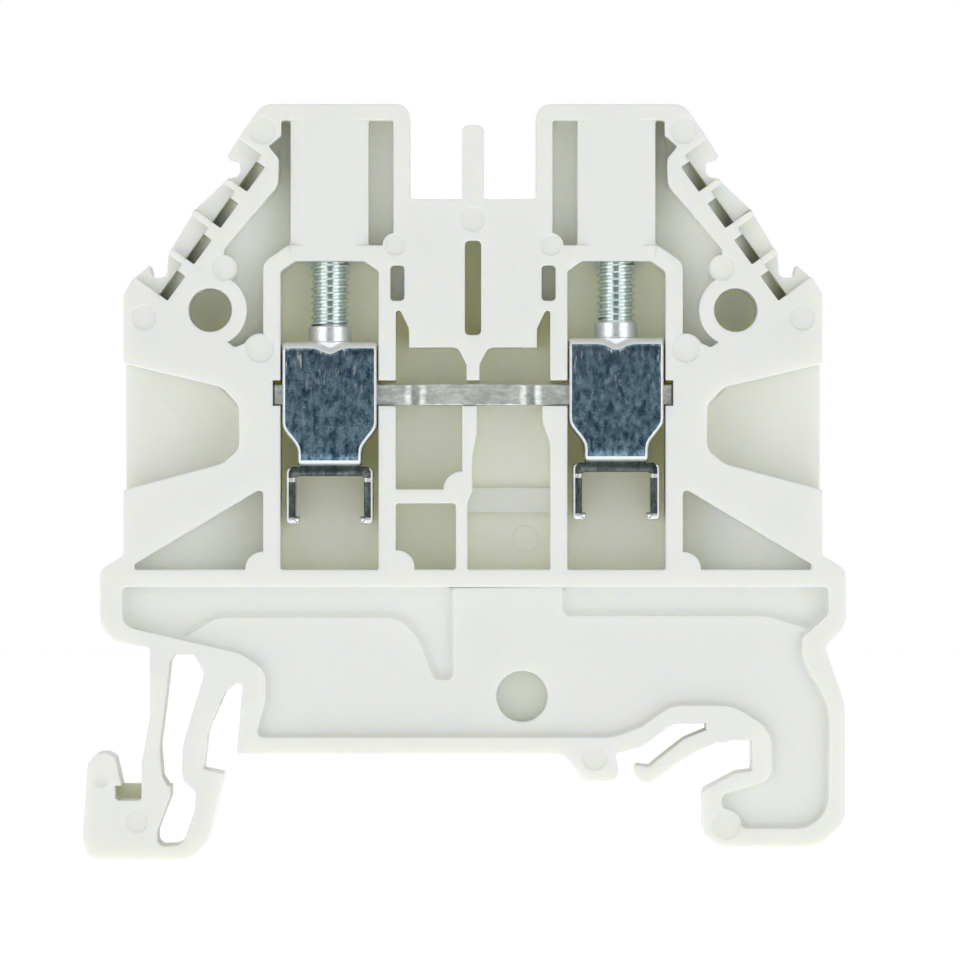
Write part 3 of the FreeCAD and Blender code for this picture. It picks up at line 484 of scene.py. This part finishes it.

# ---------------------------------------------------------------- Wire guards
# A thin steel strip folded under each yoke, which keeps a wire from going below the clamp. Its legs end in
# turned-in lips. Its faces are painted dark for the dark reflection they show, and painted highlights lie
# along its outer edges, at its feet and under its top.
GUARD_EDGE = 0.16            # rounding of its edges
LOOKS_OUT = 0.15             # how far sideways their rounding has to look to get a painted highlight
HIGHLIT_FEET = 0.42           # height of the painted highlight at the feet
HIGHLIGHT_BAND = (0.98, 0.72)   # the painted highlight band's lower and upper edge, below the top
guard_painted_dark = zinc_plate("guard_painted_dark", (0.05, 0.07, 0.07, 1), (0.19, 0.23, 0.22, 1), 2.0, 0.2)
for side in ("left", "right"):
    node_name = "wire_guard_" + side
    guard = merged_copy(node_name)
    soften(guard, GUARD_EDGE, 3, material=1)
    low, high = (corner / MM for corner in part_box(node_name))
    middle = (low + high) / 2
    # Only rounding that looks out sideways keeps the painted highlight; all else gets the painted dark
    for face in guard.faces:
        outwards = face.normal.x * (1 if face.calc_center_median().x > middle.x else -1)
        if outwards < LOOKS_OUT:
            face.material_index = 0
    # Painted highlights at the feet and in a band under the top
    highlight_places = ((low.z, low.z + HIGHLIT_FEET), tuple(high.z - down for down in HIGHLIGHT_BAND))
    for level in highlight_places[0] + highlight_places[1]:
        cut_across(guard, (0, 0, level), (0, 0, 1))
    for face in guard.faces:
        if any(below < face.calc_center_median().z < above for below, above in highlight_places):
            face.material_index = 1
    piece(guard, "guard_" + side, [guard_painted_dark, zinc_worn_and_highlit], "guard_steel", node_name, body="cage_" + side,
          flats=False)

# ---------------------------------------------------------------- Clamping screws
# M2.5 slotted screws of zinc-plated steel. Each goes through its yoke's collar and stands on the bar, with
# a rolled thread all the way down, and its head is hidden in the tower above.
PITCH = 0.45                 # of the thread
CREST = 1.25                 # radius at its crests
GROOVE = 1.08                # and in its grooves
TURN_STEPS = 28              # steps that a turn of it is made of
HEAD_HEIGHT = 1.5
HEAD_EDGE = 0.06             # rounding of the head
OVERLAP = 0.05               # how far the shaft goes up into the head
zinc_screw = zinc_plate("zinc_screw", (0.64, 0.74, 0.73, 1), (0.80, 0.87, 0.85, 1), 1.5, 0.10)


def threaded_shaft(middle, tip, neck):
    """One pitch of the thread's outline, wound up the shaft and cut level at both ends."""
    turns = math.ceil((neck - tip) / PITCH) + 2
    bm = bmesh.new()
    outline = [(GROOVE, 0), (GROOVE, 0.04), (CREST - 0.03, 0.15), (CREST, 0.18), (CREST, 0.27),
               (CREST - 0.03, 0.30), (GROOVE, 0.41), (GROOVE, PITCH)]
    points = [bm.verts.new((middle.x + r, middle.y, tip - PITCH * 1.5 + z)) for r, z in outline]
    edges = [bm.edges.new(pair) for pair in zip(points, points[1:])]
    bmesh.ops.spin(bm, geom=points + edges, cent=(middle.x, middle.y, tip), axis=(0, 0, 1),
                   dvec=(0, 0, PITCH / TURN_STEPS), angle=2 * math.pi * turns, steps=TURN_STEPS * turns)
    bmesh.ops.remove_doubles(bm, verts=bm.verts, dist=4 * WELD)
    for level, away in ((tip, -1), (neck, 1)):
        cut_across(bm, (0, 0, level), (0, 0, away), clear_outer=True)
        open_edges = [e for e in bm.edges if e.is_boundary and
                      all(abs(v.co.z - level) < WELD for v in e.verts)]
        bmesh.ops.holes_fill(bm, edges=open_edges, sides=0)
    bmesh.ops.recalc_face_normals(bm, faces=bm.faces[:])
    return bm


for side in ("left", "right"):
    node_name = "clamping_screw_" + side
    low, high = (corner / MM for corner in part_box(node_name))
    middle = (low + high) / 2
    neck = high.z - HEAD_HEIGHT
    screw = threaded_shaft(middle, low.z, neck + OVERLAP)
    head = merged_copy(node_name)
    cut_across(head, (0, 0, neck + WELD), (0, 0, -1), clear_outer=True)
    rim = [e for e in head.edges if e.is_boundary]
    bmesh.ops.holes_fill(head, edges=rim, sides=0)
    soften(head, HEAD_EDGE, 2)
    scratch_mesh = bpy.data.meshes.new("screw_head_" + side)
    head.to_mesh(scratch_mesh)
    head.free()
    screw.from_mesh(scratch_mesh)
    bpy.data.meshes.remove(scratch_mesh)
    piece(screw, "screw_" + side, [zinc_screw], "screw_steel", node_name, body="screw_" + side,
          flats=False)

# ---------------------------------------------------------------- Studio
# White paper under the block, a white room that is dark only on the lens side, and soft lamps: one high
# behind the block, and two on each side of the lens.
FLOOR_HALF = 0.6             # half the side of the paper, in metres
FLOOR_GLOW = 0.48            # light of its own, which keeps it white where the block shades it
floor_mesh = bmesh.new()
bmesh.ops.create_grid(floor_mesh, x_segments=1, y_segments=1, size=FLOOR_HALF)
bmesh.ops.translate(floor_mesh, vec=(0, 0, cad_low.z), verts=floor_mesh.verts)
mesh = bpy.data.meshes.new("floor")
floor_mesh.to_mesh(mesh)
floor_mesh.free()
floor = bpy.data.objects.new("floor", mesh)
bpy.context.scene.collection.objects.link(floor)
paper, _, paper_shader, _ = shader("floor_paper", 0.9)
paper_shader.inputs["Base Color"].default_value = (0.93, 0.93, 0.93, 1)
paper_shader.inputs["Emission Color"].default_value = (1, 1, 1, 1)
paper_shader.inputs["Emission Strength"].default_value = FLOOR_GLOW
mesh.materials.append(paper)

# Light from each side of the room, which lights the block but isn't seen straight
ROOM = {"left": 0.24, "right": 0.24, "front": 1.00, "back": 0.80, "down": 0.39, "up": 0.47}
LENS_SIDE = 0.20             # light from the dark side behind the lens
LENS_EDGE = (0.80, 0.97)     # cosines of the angles from the lens between which it gets that dark
world = bpy.data.worlds.new("white_room")
bpy.context.scene.world = world
world.use_nodes = True
sky = world.node_tree
seen = sky.nodes["Background"]


def sky_node(kind, *inputs, **settings):
    """A node of the room's light, with its inputs joined up or set in their order."""
    made = sky.nodes.new("ShaderNode" + kind)
    for key, value in settings.items():
        setattr(made, key, value)
    for socket, value in zip(made.inputs, inputs):
        if isinstance(value, bpy.types.NodeSocket):
            sky.links.new(value, socket)
        elif value is not None:
            socket.default_value = value
    return made


way = sky_node("SeparateXYZ", sky_node("TexCoord").outputs["Generated"]).outputs
light = None
for axis, (minus, plus) in enumerate((("left", "right"), ("front", "back"), ("down", "up"))):
    square = sky_node("Math", way[axis], way[axis], operation="MULTIPLY").outputs[0]
    side = sky_node("Math", way[axis], 0.0, operation="GREATER_THAN").outputs[0]
    wall = sky_node("MapRange", side, 0.0, 1.0, ROOM[minus], ROOM[plus]).outputs[0]
    share = sky_node("Math", square, wall, operation="MULTIPLY").outputs[0]
    light = share if light is None else sky_node("Math", light, share, operation="ADD").outputs[0]
behind_lens = sky_node("Math", way[1], -1.0, operation="MULTIPLY").outputs[0]
dark = sky_node("MapRange", behind_lens, *LENS_EDGE, 0.0, 1.0, interpolation_type="SMOOTHSTEP").outputs[0]
bright = sky_node("Math", 1.0, dark, operation="SUBTRACT").outputs[0]
light = sky_node("Math", light, bright, operation="MULTIPLY").outputs[0]
light = sky_node("Math", sky_node("Math", dark, LENS_SIDE, operation="MULTIPLY").outputs[0], light,
                 operation="ADD").outputs[0]
room = sky_node("Background", None, light)
seen.inputs["Color"].default_value = (1, 1, 1, 1)
seen.inputs["Strength"].default_value = 1.0
room.inputs["Color"].default_value = (1, 1, 1, 1)
seen_straight = sky_node("LightPath").outputs["Is Camera Ray"]
choose = sky_node("MixShader", seen_straight, room.outputs[0], seen.outputs[0])
sky.links.new(choose.outputs[0], sky.nodes["World Output"].inputs["Surface"])


AIM = Vector((0, 0, 0.018))  # the middle of the block, in metres


def soft_lamp(name, place, size, power, colour):
    """A rectangular lamp that is turned to the block's middle."""
    lamp = bpy.data.lights.new(name, "AREA")
    lamp.shape = "RECTANGLE"
    lamp.size, lamp.size_y = size
    lamp.energy = power
    lamp.color = colour
    holder = bpy.data.objects.new(name, lamp)
    bpy.context.scene.collection.objects.link(holder)
    turn = (AIM - Vector(place)).to_track_quat("-Z", "Y").to_matrix().to_4x4()
    holder.matrix_world = Matrix.Translation(place) @ turn


# Their places and sizes are in metres, and their power in watts
soft_lamp("top_lamp", (0, 0.14, 0.50), (0.50, 0.30), 0.40, (1.0, 1.0, 1.0))
soft_lamp("left_lamp", (-0.42, -0.36, 0.10), (0.25, 0.45), 0.25, (1.0, 0.985, 0.965))
soft_lamp("right_lamp", (0.42, -0.36, 0.10), (0.25, 0.45), 0.28, (0.975, 1.0, 0.985))
soft_lamp("near_left_lamp", (-0.25, -0.50, 0.06), (0.15, 0.40), 0.145, (1.0, 1.0, 1.0))
soft_lamp("near_right_lamp", (0.25, -0.50, 0.06), (0.15, 0.40), 0.145, (1.0, 1.0, 1.0))

OPEN_SIDE = -0.0025          # where the block's open side is, in metres
LENS_AWAY = 0.5              # how far before it the camera stands
camera_data = bpy.data.cameras.new("camera")
camera_data.sensor_width = 36
camera_data.lens = 292.5
camera_data.clip_start = 0.01
camera = bpy.data.objects.new("camera", camera_data)
bpy.context.scene.collection.objects.link(camera)
camera.location = (0.0001, OPEN_SIDE - LENS_AWAY, 0.0176)
camera.rotation_euler = (math.pi / 2, 0, 0)
bpy.context.scene.camera = camera
bpy.context.scene.view_settings.view_transform = "Standard"
